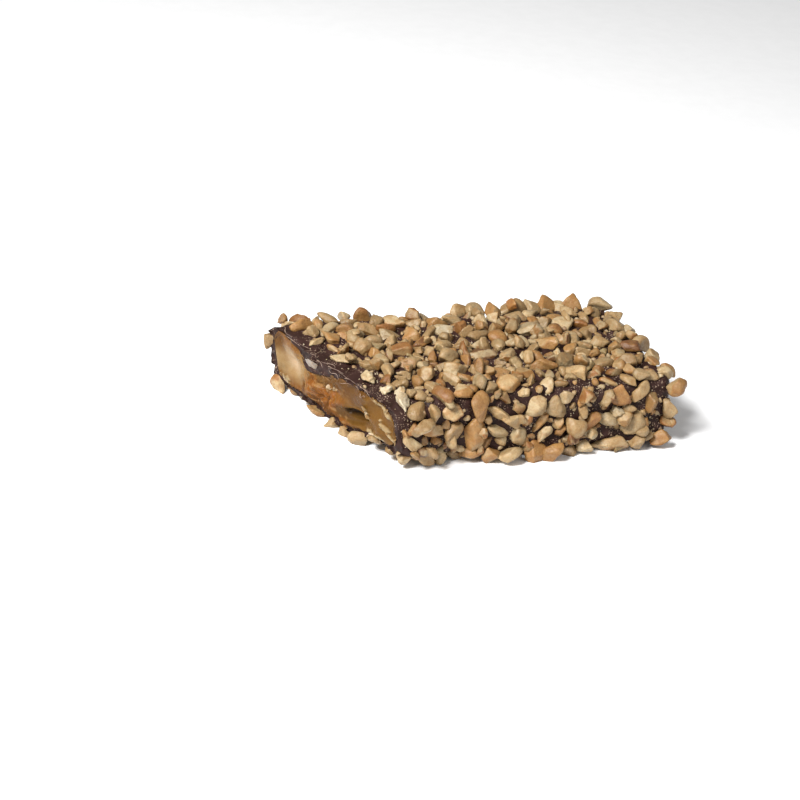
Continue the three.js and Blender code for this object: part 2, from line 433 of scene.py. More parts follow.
def floor_material():
    """A pale matte floor."""
    n = Nodes("pale_floor")
    grain = n.noise(6, detail=3)
    n.set(
        Base_Color=n.blend(n.between(grain, 0.3, 0.7), (0.93, 0.93, 0.93), (0.95, 0.95, 0.95)),
        Roughness=0.7,
        Specular_IOR_Level=0.2,
    )
    return n.material


NUT, CHOCOLATE, SHAVING, TOFFEE = nut_material(), chocolate_material(), shaving_material(), toffee_material()

# ---- The chopped nuts ----

CREAM, PALE, TAN = colour(218, 198, 162), colour(203, 177, 136), colour(186, 156, 112)
GOLDEN, ORANGE, BROWN = colour(190, 146, 90), colour(176, 124, 68), colour(144, 99, 56)
WHITISH, OLIVE = colour(228, 217, 194), colour(172, 153, 112)
TINTS = np.array([CREAM, PALE, TAN, GOLDEN, ORANGE, BROWN, OLIVE])
INSIDES = (0.22, 0.34, 0.24, 0.12, 0.04, 0.01, 0.03)  # how often a nut has each of them inside
OUTSIDES = (0.05, 0.18, 0.28, 0.30, 0.13, 0.03, 0.03)
NUT_TONE = np.array([0.53, 0.508, 0.464])  # how much of those the nuts keep once roasted

# The nuts that catch the eye: place, half sizes, turn about the surface's normal, inside and outside.
CHOSEN = [
    ((-32.6, 9.9, 15.2), (1.9, 1.3, 0.7), 0.4, CREAM, PALE),
    ((-29.7, 2.5, 15.0), (2.4, 1.5, 0.7), -0.5, CREAM, CREAM),
    ((-26.1, 0.4, 15.0), (2.2, 1.0, 0.8), -0.7, PALE, TAN),
    ((-26.4, -6.9, 14.8), (2.0, 1.3, 1.1), 1.1, WHITISH, CREAM),
    ((-25.0, -13.4, 14.8), (1.4, 1.2, 1.0), 0.2, WHITISH, CREAM),
    ((-22.6, -14.8, 14.8), (1.5, 1.0, 1.0), 1.2, WHITISH, PALE),
    ((-23.2, -18.0, 14.0), (2.0, 1.1, 1.0), 1.3, WHITISH, WHITISH),
    ((-33.6, 16.6, 15.6), (2.5, 1.5, 1.4), 0.0, GOLDEN, GOLDEN),
    ((-20.4, 12.9, 15.4), (2.5, 1.4, 1.3), -0.6, GOLDEN, TAN),
    ((-23.5, 10.0, 15.2), (1.7, 1.5, 1.3), 0.3, CREAM, PALE),
    ((-3.1, 10.6, 15.4), (3.0, 1.4, 1.1), 0.3, WHITISH, CREAM),
    ((7.1, 5.5, 15.4), (2.0, 1.9, 1.4), 0.8, ORANGE, GOLDEN),
    ((23.9, 8.9, 15.2), (2.2, 1.8, 1.4), 0.0, CREAM, CREAM),
    ((35.5, 16.5, 14.9), (2.5, 2.1, 1.7), 0.0, CREAM, PALE),
    ((30.5, 18.6, 14.8), (2.5, 1.6, 2.5), 0.3, PALE, GOLDEN),
    ((24.5, 18.8, 14.8), (2.5, 1.5, 2.6), 0.4, GOLDEN, GOLDEN),
    ((17.0, 18.6, 14.8), (2.6, 1.5, 2.3), 0.2, PALE, TAN),
    ((11.0, 18.6, 14.8), (2.2, 1.4, 2.4), 0.3, GOLDEN, TAN),
    ((3.0, 18.8, 14.8), (2.4, 1.5, 1.9), 0.1, PALE, TAN),
    ((37.9, -19.6, 14.6), (2.2, 1.6, 2.2), 0.2, PALE, GOLDEN),
    ((36.9, -14.2, 14.6), (2.2, 1.7, 1.5), 0.5, CREAM, PALE),
    ((37.4, -19.4, 8.2), (1.8, 1.3, 1.7), 1.3, PALE, PALE),
    ((37.2, -19.4, 5.2), (1.3, 1.1, 1.5), 0.2, TAN, ORANGE),
    ((35.8, -20.8, 2.4), (2.3, 1.6, 1.9), 0.5, GOLDEN, ORANGE),
    ((-27.0, -7.0, 1.0), (2.4, 1.7, 1.6), 0.1, CREAM, PALE),
    ((-28.6, -2.4, 1.0), (1.9, 1.4, 1.2), 0.6, PALE, TAN),
    ((-30.2, 1.6, 1.0), (2.2, 1.5, 1.3), 0.3, PALE, TAN),
    ((-32.0, 6.8, 1.0), (2.0, 1.4, 1.3), 0.9, TAN, GOLDEN),
    ((10.6, -21.9, 1.8), (2.2, 1.8, 2.1), 0.9, GOLDEN, GOLDEN),
    ((-7.1, -19.4, 13.4), (2.7, 2.5, 1.5), 1.2, GOLDEN, GOLDEN),
    ((-7.5, -20.0, 7.0), (3.5, 2.3, 1.4), 1.5, GOLDEN, TAN),
    ((0.8, -20.0, 9.0), (2.1, 1.9, 1.1), 0.7, PALE, TAN),
    ((6.0, -19.6, 12.2), (2.3, 1.9, 1.0), 1.1, CREAM, PALE),
    ((7.4, -20.0, 8.4), (2.4, 0.8, 0.8), 1.0, GOLDEN, PALE),
    ((25.0, -18.6, 12.6), (2.2, 2.0, 1.1), 0.2, GOLDEN, ORANGE),
    ((29.7, -18.6, 13.0), (2.3, 1.3, 1.0), 1.0, PALE, TAN),
    ((16.5, -18.8, 12.6), (2.4, 1.1, 1.1), 1.3, GOLDEN, GOLDEN),
    ((19.2, -18.8, 7.0), (3.0, 1.1, 1.1), 0.9, ORANGE, GOLDEN),
    ((28.6, -18.8, 5.6), (2.4, 1.9, 1.2), 0.5, PALE, PALE),
    ((24.9, -18.8, 8.8), (1.5, 1.4, 1.3), 0.0, WHITISH, CREAM),
    ((0.8, -21.3, 1.8), (2.4, 1.8, 1.8), 0.2, CREAM, PALE),
    ((5.8, -21.6, 1.8), (2.8, 1.9, 1.9), 0.0, GOLDEN, ORANGE),
    ((18.0, -21.0, 1.6), (1.6, 1.4, 1.4), 0.4, CREAM, CREAM),
    ((23.8, -21.3, 1.6), (3.4, 1.5, 1.5), 0.1, PALE, GOLDEN),
    ((29.8, -20.6, 1.6), (1.9, 1.5, 1.5), 0.6, TAN, PALE),
    ((-3.4, -20.9, 1.6), (1.9, 1.6, 1.7), 0.3, TAN, GOLDEN),
    ((-6.0, 18.9, 14.9), (2.5, 1.5, 2.0), 0.2, PALE, TAN),
    ((7.0, 18.8, 14.9), (2.1, 1.4, 2.1), 0.5, CREAM, PALE),
    ((14.0, 18.7, 14.9), (2.0, 1.4, 2.2), 0.1, TAN, PALE),
    ((20.8, 18.8, 14.9), (2.1, 1.4, 2.2), 0.4, PALE, CREAM),
    ((27.6, 18.7, 14.9), (2.0, 1.4, 2.4), 0.2, CREAM, PALE),
    ((36.6, 9.5, 14.8), (2.2, 1.6, 1.9), 0.9, PALE, TAN),
    ((37.2, -2.0, 14.8), (2.2, 1.6, 1.9), 0.3, TAN, PALE),
    ((37.4, -8.2, 14.8), (2.2, 1.6, 1.9), 0.7, CREAM, TAN),
]

SEATED = (0.55, 0.8)  # the least and greatest height of their middles, as a share of half their thickness
CHOSEN_SEED = 300  # and one more for each of them, so that each has its own shape
CHOSEN_FINENESS = 7

# How the rest are strewn: half length from and to, width and thickness as shares of it, tries, and how close
# they may lie, as a share of touching.
STREWN = [
    ((2.2, 3.1), (0.45, 0.75), (0.42, 0.62), 450, 0.90),
    ((1.6, 2.3), (0.50, 0.90), (0.50, 0.80), 3000, 0.90),
    ((1.1, 1.7), (0.60, 0.95), (0.55, 0.90), 7000, 0.87),
    ((0.7, 1.1), (0.60, 0.95), (0.55, 0.95), 6000, 0.88),
]
HEAPED = ((1.1, 2.1), (0.50, 0.90), (0.50, 0.80), 700, 2.9)  # on the others, 2.9 half lengths or more apart
HEAPED_LIFT = 1.15  # how much higher these lie
STREWN_SEED = 7
LARGE, FINE, MEDIUM = 1.75, 1.5, 1.1  # half lengths: above these a nut is large, finely divided, or medium
UNDERSIDE = -0.3  # a normal that points lower than this is on the underside
BARE_CORNER = (33.5, -12, 13)  # past this x, nearer than this y and below this z, no nuts lie

# How a nut was chopped: breaks, from and fewer than, how deep they lie as a share of the kernel, how many of
# them are skinned over, how crisp the edges are, and how much larger the kernel was before.
KERNEL = {"breaks": (3, 6), "depths": (0.35, 0.85), "skinned": 0.1, "crispness": 24, "size": 1.12}
CHUNK = {"breaks": (8, 13), "depths": (0.48, 0.84), "skinned": 0.3, "crispness": 42, "size": 1.2}
KERNELS = 0.35  # the share of nuts that are nearly whole
UNBROKEN = 1.08  # how far out the kernel reaches where nothing broke off
TAPER, BEND, SKEW = 0.48, 0.16, 0.3  # at most, as shares of half a kernel's length


def geodesic(steps):
    """A unit sphere of 20 * steps * steps triangles."""
    work = bmesh.new()
    bmesh.ops.create_icosphere(work, subdivisions=1, radius=1)
    base = np.array([vertex.co[:] for vertex in work.verts])
    corners = [[vertex.index for vertex in face.verts] for face in work.faces]
    work.free()
    points, faces, seen = [], [], {}
    for a, b, c in corners:
        grid = {}
        for i in range(steps + 1):
            for j in range(steps + 1 - i):
                spot = unit(base[a] * (steps - i - j) + base[b] * i + base[c] * j)
                key = tuple(np.round(spot, 5))
                if key not in seen:
                    seen[key] = len(points)
                    points.append(spot)
                grid[i, j] = seen[key]
        for i in range(steps):
            for j in range(steps - i):
                faces.append((grid[i, j], grid[i + 1, j], grid[i, j + 1]))
                if i + j < steps - 1:
                    faces.append((grid[i + 1, j], grid[i + 1, j + 1], grid[i, j + 1]))
    return np.array(points), np.array(faces)


SPHERES = {steps: geodesic(steps) for steps in range(1, 8)}


def break_up(rng, sphere, kind):
    """A unit sphere with flat breaks: its points, and how much each lies on a break and on an edge."""
    count = rng.integers(*kind["breaks"])
    normals = unit(rng.normal(size=(count, 3)))
    depths = rng.uniform(*kind["depths"], count)
    skinned = rng.random(count) < kind["skinned"]
    facing = sphere @ normals.T
    unbroken = np.full((len(sphere), 1), UNBROKEN)
    reach = np.concatenate([depths / np.maximum(facing, 1e-3), unbroken], axis=1)
    weights = np.minimum(reach, 9.0) ** -kind["crispness"]
    total = weights.sum(axis=1)
    radius = total ** (-1 / kind["crispness"])
    broken = weights[:, :-1][:, ~skinned].sum(axis=1) / total
    edge = 1 - smoothstep(weights.max(axis=1) / total, 0.45, 0.85)
    return sphere * radius[:, None], broken, edge


def nut_shade(points, inside, outside, broken, edge):
    """A nut's colours: its inside on the breaks, toasted in patches, and lighter along the edges."""
    toast = np.clip(0.5 + 0.5 * waves(points, 2.2, 14), 0, 1)[:, None]
    patch = smoothstep(waves(points, 0.9, 15), 0.1, 0.9)
    inside = inside * NUT_TONE * (1 - 0.10 * toast)
    outside = outside * NUT_TONE * (1 - 0.25 * toast)
    skin, flesh = mix(outside, inside, 0.35 * patch), mix(inside, outside, 0.45 * patch)
    return mix(skin, flesh, smoothstep(broken, 0.3, 0.8)) * (1 + 0.22 * edge[:, None])


def nut_shape(rng, half, inside, outside, steps, crumbly=0.0):
    """One chopped nut round the origin: an uneven kernel with flat breaks, its points, faces and colours."""
    sphere, faces = SPHERES[steps]
    kind = KERNEL if rng.random() < KERNELS else CHUNK
    points, broken, edge = break_up(rng, sphere, kind)
    shift = rng.uniform(-50, 50, 3)  # no two nuts share their lumps
    swell = 0.05 * waves(points + shift, 0.8, 11) + 0.035 * waves(points + shift, 0.28, 12)
    swell += crumbly * 0.14 * waves(points + shift, 0.35, 13)
    points = points * (1 + swell)[:, None]
    taper, bend, skew = (rng.uniform(-most, most) for most in (TAPER, BEND, SKEW))
    points[:, 1] *= 1 - taper * points[:, 0]
    points[:, 1] += bend * points[:, 0] ** 2 + skew * points[:, 2]
    points[:, 2] *= 1 - 0.5 * taper * points[:, 0]
    points = points * half * kind["size"]
    return points, faces, nut_shade(points + shift, inside, outside, broken, edge)


def frame_at(normal, turn):
    """Three axes, as rows: two along the surface, turned by turn, and its normal."""
    helper = np.array((1.0, 0.0, 0.0) if abs(normal[0]) < 0.9 else (0.0, 0.0, 1.0))
    first = unit(helper - normal * (helper @ normal))
    second = np.cross(normal, first)
    c, s = math.cos(turn), math.sin(turn)
    return np.array([first * c + second * s, second * c - first * s, normal])


class Heap:
    """Many small shapes gathered into one piece."""

    def __init__(self):
        self.points, self.faces, self.shades, self.count = [], [], [], 0

    def add(self, points, faces, shades):
        self.points.append(points)
        self.faces.append(faces + self.count)
        self.shades.append(shades)
        self.count += len(points)

    def piece(self, name, slot, node, material):
        """The piece, with nothing of it below the table."""
        points = np.concatenate(self.points)
        points[:, 2] = np.maximum(points[:, 2], 0.0)
        faces = np.concatenate(self.faces).tolist()
        add_piece(name, points, faces, node, material, np.concatenate(self.shades))


# ---- The chocolate's outer surface ----


def outer_rings():
    """The coat's outer surface, gently lumpy, and its normals."""
    rings = loft_rings(COAT, stations=176, rounds=12, flat=8)
    flat = rings.reshape(-1, 3)
    near, past_cut, low = -flat[:, 1], flat[:, 0], -flat[:, 2]
    foot = smoothstep(near, 12, 17) * smoothstep(past_cut, -10, 4) * smoothstep(low, -6, -2)
    flat[:, 1:] -= np.array(FOOT) * foot[:, None]
    normals = normals_of(rings).reshape(-1, 3)
    lumps = 0.30 * waves(flat, 6.0, 1) + 0.14 * waves(flat, 2.2, 2)
    return (flat + normals * lumps[:, None]).reshape(rings.shape), normals.reshape(rings.shape)


RINGS, RING_NORMALS = outer_rings()


def surface_samples(rng, count):
    """Points spread evenly over the chocolate's outer surface, with their normals."""
    a, b, c = RINGS[:-1], np.roll(RINGS, -1, axis=1)[:-1], RINGS[1:]
    area = np.linalg.norm(np.cross(b - a, c - a), axis=-1).ravel()
    chosen = rng.choice(len(area), size=count, p=area / area.sum())
    u, v = rng.random((2, count, 1))
    a, b, c = (grid.reshape(-1, 3)[chosen] for grid in (a, b, c))
    return a + (b - a) * u + (c - a) * v, RING_NORMALS[:-1].reshape(-1, 3)[chosen]


def distance_from_cut(points):
    return points[:, 0] - cut_x(points[:, 1], points[:, 2])


def bare(points, normals):
    """Where no nuts lie: a strip along the cut, one corner, and patches, most of them on the near side."""
    faces_near = smoothstep(-normals[:, 1], 0.3, 0.8)
    faces_end = smoothstep(normals[:, 0], 0.4, 0.8)
    strip = 0.9 + 0.9 * waves(points, 2.5, 21) + 0.5 * faces_near
    strip += BARE_STRIP * smoothstep(normals[:, 2], 0.0, 0.7) * smoothstep(points[:, 1], 22, 16)
    sparse_side = faces_near * smoothstep(points[:, 0], 2, 14)
    sparse = np.maximum(sparse_side, faces_end * smoothstep(-points[:, 1], 2, 10))
    dense = faces_near * smoothstep(-points[:, 0], -4, 6)
    patches = waves(points, 2.2, 22) + 0.40 * sparse - 0.45 * dense > 0.44
    x, y, z = BARE_CORNER
    corner = (points[:, 0] > x) & (points[:, 1] < y) & (points[:, 2] < z)
    return (distance_from_cut(points) < strip) | patches | corner


class Nut(NamedTuple):
    """Where a nut lies on the chocolate, its half sizes and its turn about the surface's normal."""

    foot: np.ndarray
    normal: np.ndarray
    half: np.ndarray
    turn: float
    lift: float = 0.0  # how much higher it lies than those on the chocolate itself
    height: float = 0.0  # of its middle, for a chosen nut
    tints: tuple = ()  # inside and outside, for a chosen nut

    @property
    def radius(self):
        return math.sqrt(self.half[0] * self.half[1])

    @property
    def fineness(self):
        """Its triangles are 20 times the square of this."""
        if self.tints:
            return CHOSEN_FINENESS
        if self.half[0] > FINE:
            return 6 if self.normal[2] > UNDERSIDE else 4
        return 5 if self.half[0] > MEDIUM else 3

    @property
    def heap(self):
        if self.lift:
            return "nuts_heaped"
        if self.half[0] > LARGE:
            return "nuts_large"
        return "nuts_medium" if self.half[0] > MEDIUM else "nuts_small"


def chosen_nuts():
    """The nuts that catch the eye, each at the spot on the chocolate nearest its place."""
    points, normals = RINGS.reshape(-1, 3), RING_NORMALS.reshape(-1, 3)
    nuts = []
    for place, half, turn, inside, outside in CHOSEN:
        nearest = np.argmin(((points - place) ** 2).sum(axis=1))
        foot, normal = points[nearest], normals[nearest]
        height = half[2] * np.clip((place - foot) @ normal / half[2], *SEATED)
        nuts.append(Nut(foot, normal, np.array(half), turn, 0.0, height, (inside, outside)))
    return nuts


def random_half(rng, lengths, widths, depths):
    half_length = rng.uniform(*lengths)
    return half_length * np.array([1, rng.uniform(*widths), rng.uniform(*depths)])


def strewn_nuts(rng, chosen):
    """The nuts between the chosen ones, the largest first, none too near another."""
    nuts = list(chosen)
    for lengths, widths, depths, tries, closeness in STREWN:
        points, normals = surface_samples(rng, tries)
        free = ~bare(points, normals)
        for point, normal in zip(points[free], normals[free]):
            half = random_half(rng, lengths, widths, depths)
            places = np.array([nut.foot for nut in nuts])
            reach = np.array([nut.radius for nut in nuts]) + math.sqrt(half[0] * half[1])
            if (np.linalg.norm(places - point, axis=1) < closeness * reach).any():
                continue
            nuts.append(Nut(point, normal, half, rng.uniform(0, 2 * math.pi)))
    return nuts[len(chosen):]


def heaped_nuts(rng):
    """The nuts that lie on the others, anywhere but on the underside."""
    lengths, widths, depths, tries, closeness = HEAPED
    points, normals = surface_samples(rng, tries)
    skipped = bare(points, normals) | (normals[:, 2] < UNDERSIDE)
    nuts = []
    for point, normal, skip in zip(points, normals, skipped):
        half = random_half(rng, lengths, widths, depths)
        near = (np.linalg.norm(point - nut.foot) < closeness * half[0] for nut in nuts)
        if not skip and not any(near):
            nuts.append(Nut(point, normal, half, rng.uniform(0, 2 * math.pi), HEAPED_LIFT))
    return nuts


def nut_tints(rng):
    """An inside and an outside colour, the inside most often the paler."""
    inside, outside = (TINTS[rng.choice(len(TINTS), p=shares)] for shares in (INSIDES, OUTSIDES))
    level = rng.uniform(0.80, 1.14)
    return inside * level, outside * level


def build_nuts():
    """The chopped nuts in four pieces: large, medium and small ones, and those that lie on them.

    Each chosen nut draws from a stream of its own, and the rest go on from the last one's.
    """
    rng = np.random.default_rng(STREWN_SEED)
    chosen = chosen_nuts()
    nuts = chosen + strewn_nuts(rng, chosen) + heaped_nuts(rng)
    heaps = {name: Heap() for name in ("nuts_large", "nuts_medium", "nuts_small", "nuts_heaped")}
    for number, nut in enumerate(nuts):
        if nut.tints:
            rng = np.random.default_rng(CHOSEN_SEED + number)
        inside, outside = nut.tints or nut_tints(rng)
        crumbly = 1.0 if inside is WHITISH and nut.half[0] < 2.1 else 0.0
        points, faces, shade = nut_shape(rng, nut.half, inside, outside, nut.fineness, crumbly)
        tilt = 0.10 if nut.tints else rng.normal(0, 0.55 if nut.lift else 0.30)
        height = nut.height or nut.lift + nut.half[2] * rng.uniform(0.25, 0.75)
        c, s = math.cos(tilt), math.sin(tilt)
        lean = np.array([[c, 0, s], [0, 1, 0], [-s, 0, c]])
        points = points @ (lean @ frame_at(nut.normal, nut.turn)) + nut.foot + nut.normal * height
        heaps[nut.heap].add(points, faces, shade)
    for name, heap in heaps.items():
        heap.piece(name, "nuts", "nut_coat", NUT)
    return [nut for nut in nuts if not nut.lift]


def build_crumbs(name, count, sizes, steps, seed, on_bare, paleness):
    """Crumbs of nut: in clusters between the nuts, and on a share of the bare chocolate."""
    rng = np.random.default_rng(seed)
    points, normals = surface_samples(rng, count)
    clustered = waves(points, 2.6, seed + 1) > -0.1
    behind = distance_from_cut(points)
    share = on_bare * (0.25 + 0.75 * smoothstep(behind, 3.5, 6.0))
    kept = np.where(bare(points, normals), rng.random(count) < share, clustered)
    kept &= behind > 0.4
    heap = Heap()
    for point, normal in zip(points[kept], normals[kept]):
        half = random_half(rng, sizes, (0.6, 1), (0.5, 0.9))
        inside, outside = (mix(tint, WHITISH, paleness) for tint in nut_tints(rng))
        shape, faces, shade = nut_shape(rng, half, inside, outside, steps)
        axes = frame_at(normal, rng.uniform(0, 2 * math.pi))
        heap.add(shape @ axes + point + normal * rng.uniform(0.2, 0.9) * half[2], faces, shade)
    heap.piece(name, "nuts", "nut_coat", NUT)


# ---- The chocolate ----

CLIMB, CLIMB_MOST = 0.42, 0.6  # how far the chocolate climbs round one nut, and at most
CLEARANCE = 0.35  # between the chocolate and the table, where the nuts hold it up
CUT_STEPS = 10  # from the outer surface to the inner one, on the face of the cut


def climb_up(points, nuts):
    """How far the chocolate climbs at each point, round the foot of the nuts there."""
    tree = KDTree(len(nuts))
    for i, nut in enumerate(nuts):
        tree.insert(nut.foot, i)
    tree.balance()
    climb = np.zeros(len(points))
    for i, point in enumerate(points):
        for _, nearest, distance in tree.find_n(point, 3):
            away = distance / nuts[nearest].radius
            climb[i] += CLIMB * max(0.0, 1 - abs(away - 0.7) / 0.9) ** 2
    return np.minimum(climb, CLIMB_MOST)


def build_chocolate(nuts):
    """The coat: its outer surface, the face of the cut, and its inner surface."""
    flat = RINGS.reshape(-1, 3).copy()
    behind = distance_from_cut(flat)
    rough = (0.10 * waves(flat, 0.9, 3) + 0.05 * waves(flat, 0.45, 4)) * smoothstep(behind, 1.0, 4.0)
    out = climb_up(flat, nuts) * smoothstep(behind, 0.2, 2.0) + rough
    flat += RING_NORMALS.reshape(-1, 3) * out[:, None]
    flat[:, 2] = np.maximum(flat[:, 2], CLEARANCE)
    rings = flat.reshape(RINGS.shape)
    inner = loft_rings(SLAB, stations=30, rounds=4, flat=3)
    shares = np.linspace(0, 1, CUT_STEPS + 1)[1:-1]
    face = np.array([rings[0] + (inner[0] - rings[0]) * share for share in shares])
    broken = face.reshape(-1, 3)
    broken[:, 0] += 0.28 * waves(broken, 1.8, 5) + 0.12 * waves(broken, 0.6, 6) + 0.25
    edge = rings[0]
    lower = smoothstep(edge[:, 2], 8, 5)
    edge[:, 0] += (0.3 + 0.35 * lower) * waves(edge, 1.4, 7) + (0.15 + 0.15 * lower) * waves(edge, 0.5, 8)
    edge[:, 2] += 0.4 * lower * waves(edge, 1.1, 9)
    grid = np.concatenate([rings[::-1], broken.reshape(face.shape), inner])
    faces = ring_faces(np.arange(len(grid) * AROUND).reshape(-1, AROUND)).tolist()
    tidy(add_piece("chocolate", grid.reshape(-1, 3), faces, "chocolate_coat", CHOCOLATE))


# ---- The toffee ----

FACE_COLUMNS, FACE_ROWS, SIDE_RINGS = 250, 72, 15
HONEY, CREAMY, CARAMEL = colour(172, 126, 74), colour(214, 188, 154), colour(138, 98, 54)
SUGAR, SYRUP, AMBER = colour(152, 122, 82), colour(188, 126, 62), colour(158, 120, 66)
BURNT, UMBER, TAWNY = colour(128, 88, 46), colour(112, 76, 44), colour(128, 90, 48)
# painted highlight: the third colour here stands for the light caught on the creamy far lobe
# painted shade: the second colour here stands for the shade inside the crater, under its upper edge
GLASSY, PAINTED_CRATER_SHADE, PAINTED_HIGHLIGHT = colour(132, 98, 46), colour(70, 50, 22), colour(170, 150, 126)
# painted glints: the second colour here stands for light caught by the sugar crystals
TORN_PALE, PAINTED_GLINT = colour(240, 226, 206), colour(232, 192, 150)
TOFFEE_TONE = (0.31, 0.272, 0.185)  # what the toffee keeps of its tints, lit through as it is
CRATER = (-7.0, 6.7)  # (y, z): a small hollow with a sharp upper edge, painted dark inside as shade
BOWL = (-5.3, 5.7)  # the smooth glassy dip round it
CRATER_DEPTH, BOWL_DEPTH, SCOOP, PIT = 1.4, 0.7, 0.9, 0.5
RIM, LEDGE, TORN = 0.4, 0.7, 0.35  # these stand up

# Pale torn streaks, from and to (y, z), and how wide.
STREAKS = [
    ((-14.0, 13.2), (-18.2, 11.6), 0.42),
    ((-15.6, 9.8), (-18.9, 5.8), 0.50),
    ((-9.8, 4.3), (-15.2, 5.4), 0.55),
    ((-11.0, 10.4), (-11.7, 8.4), 0.34),
    ((15.6, 3.9), (19.0, 4.1), 0.60),
]
FLAKED_LEDGE = ((-2.0, 9.4), (3.0, 8.6), 6)  # from and to (y, z), and how many flakes
FLAKE_SEED, FLAKE_PALE, FLAKE_DARK = 80, colour(226, 204, 172), colour(176, 140, 92)
FRAGMENT, FRAGMENT_TINT = (5.9, 12.0), colour(196, 184, 174)  # (y, z) of a white fragment


def on_face(y, z):
    """The points (0, y, z), for the waves."""
    return np.stack([np.zeros_like(y), y, z], axis=-1)


def crater_at(y, z):
    """How far from the crater's middle, its rim being 1, and how high up in it, -1 to 1."""
    up = (z - CRATER[1] + 0.23 * (y - CRATER[0])) / 1.25
    away = np.hypot((y - CRATER[0]) / 4.0, up)
    return away + 0.05 * waves(on_face(y, z), 1.2, 31), up


def bowl_distance(y, z):
    """How far from the bowl's middle, its edge being 1."""
    return np.hypot((y - BOWL[0]) / 6.2, (z - BOWL[1] + 0.26 * (y - BOWL[0])) / 2.3)


def streak_share(y, z):
    """1 on the pale streaks."""
    at = on_face(y, z)
    ragged = 1 + 0.6 * waves(at, 0.9, 43) + 0.4 * waves(at, 0.35, 47)
    share = np.zeros_like(y)
    for (y0, z0), (y1, z1), width in STREAKS:
        step = np.array([y1 - y0, z1 - z0])
        part = np.clip(((y - y0) * step[0] + (z - z0) * step[1]) / (step @ step), 0, 1)
        away = np.hypot(y - y0 - part * step[0], z - z0 - part * step[1])
        share = np.maximum(share, smoothstep(away / (width * np.maximum(ragged, 0.1)), 1.2, 0.6))
    return share


def toffee_relief(y, z):
    """How far the torn face lies behind the plane of the cut."""
    at = on_face(y, z)
    away, up = crater_at(y, z)
    bowl = bowl_distance(y, z)
    crater = CRATER_DEPTH * smoothstep(away, 1.0, 0.8) * (0.2 + 0.8 * smoothstep(up, -1.0, 0.6))
    hollow = crater + BOWL_DEPTH * smoothstep(bowl, 1.05, 0.5)
    rim = -RIM * bump(away, 1.12, 0.12) * smoothstep(up, 0.2, 0.8)
    rough = smoothstep(bowl, 0.8, 1.15)
    sugary = smoothstep(y, -5, -1) * smoothstep(y, 13, 8) * rough
    grains = 0.20 * waves(at, 0.75, 32, 16) + 0.10 * waves(at, 0.35, 33, 16)
    crystals = (0.06 + 0.94 * sugary) * grains * (0.1 + 0.9 * rough)
    ledge = -LEDGE * smoothstep(z, 9.5, 7.5) * sugary
    swells = 0.6 * waves(at, 3.2, 34) + 0.13 * waves(at, 1.5, 35) * rough
    torn = -TORN * streak_share(y, z)
    scoop = SCOOP * bump(y, 14, 4) * bump(z, 9, 3.5)
    pits = PIT * smoothstep(waves(at, 0.9, 37, 16), 0.5, 1.1) * sugary
    return hollow + rim + crystals + ledge + swells + torn + scoop + pits


def toffee_tint(y, z):
    """Creamy at the far side, orange and sugary in the middle, amber round the crater and near side; with
    painted shade in the crater, a painted highlight on the far lobe and painted glints in the middle.
    """
    at = on_face(y, z)
    drift = 1.4 * waves(at, 2.0, 41) + 0.6 * waves(at, 0.8, 44)
    creamy = smoothstep(y + drift, 4.5, 11.5) * smoothstep(z + 0.5 * drift, 3.5, 6.5)
    far_corner = smoothstep(y + 0.3 * drift, 14.8, 16.8) * smoothstep(z, 8.8, 11)
    middle = smoothstep(y + drift, -4.5, -1) * smoothstep(y + drift, 10, 6.5)
    away, up = crater_at(y, z)
    # painted shade inside the crater: darker than the bowl, and darkest under its upper edge
    crater = mix(GLASSY * 0.8, PAINTED_CRATER_SHADE, smoothstep(up, -0.7, 0.2))
    lower = smoothstep(y + 0.7 * drift, 13, 8) * smoothstep(y, -3, 1)
    upper = smoothstep(y + 0.5 * drift, -12.5, -10.5) * smoothstep(y + 0.5 * drift, 3, 0)
    layers = [
        (CREAMY, creamy * smoothstep(z + 0.4 * drift, 13.5, 11)),
        (CARAMEL, 0.85 * far_corner),
        (SUGAR, 0.8 * middle * smoothstep(z + 0.5 * drift, 8.3, 9.8)),
        (SYRUP, middle * smoothstep(z + drift, 10, 8)),
        (AMBER, smoothstep(y + 0.6 * drift, -3.0, -6.0)),
        (BURNT, 0.6 * smoothstep(waves(at, 0.9, 45), 0.3, 0.9) * middle),
        (GLASSY, 0.9 * smoothstep(bowl_distance(y, z), 1.0, 0.75)),
        (crater, smoothstep(away, 1.05, 0.92)),
        (UMBER, 0.8 * lower * smoothstep(z + 0.5 * drift, 5.6, 3.8)),
        (TAWNY, 0.75 * upper * smoothstep(z + 0.3 * drift, 8.6, 10.6)),
        (TORN_PALE, 0.9 * streak_share(y, z)),
        # painted glints: pale specks in the sugary middle, standing in for light caught by the crystals
        (PAINTED_GLINT, 0.55 * smoothstep(waves(at, 0.55, 48, 16), 0.55, 0.95) * middle),
    ]
    tint = np.broadcast_to(HONEY, (len(y), 3))
    for layer, share in layers:
        tint = mix(tint, layer, share)
    patchy = np.clip(0.9 + 0.25 * waves(at, 1.0, 49), 0, 1)
    # a painted highlight on the creamy far lobe, round the scoop, broken up in patches
    return mix(tint * TOFFEE_TONE, PAINTED_HIGHLIGHT, 0.8 * bump(y, 14.0, 2.0) * bump(z, 9.4, 2.6) * patchy)


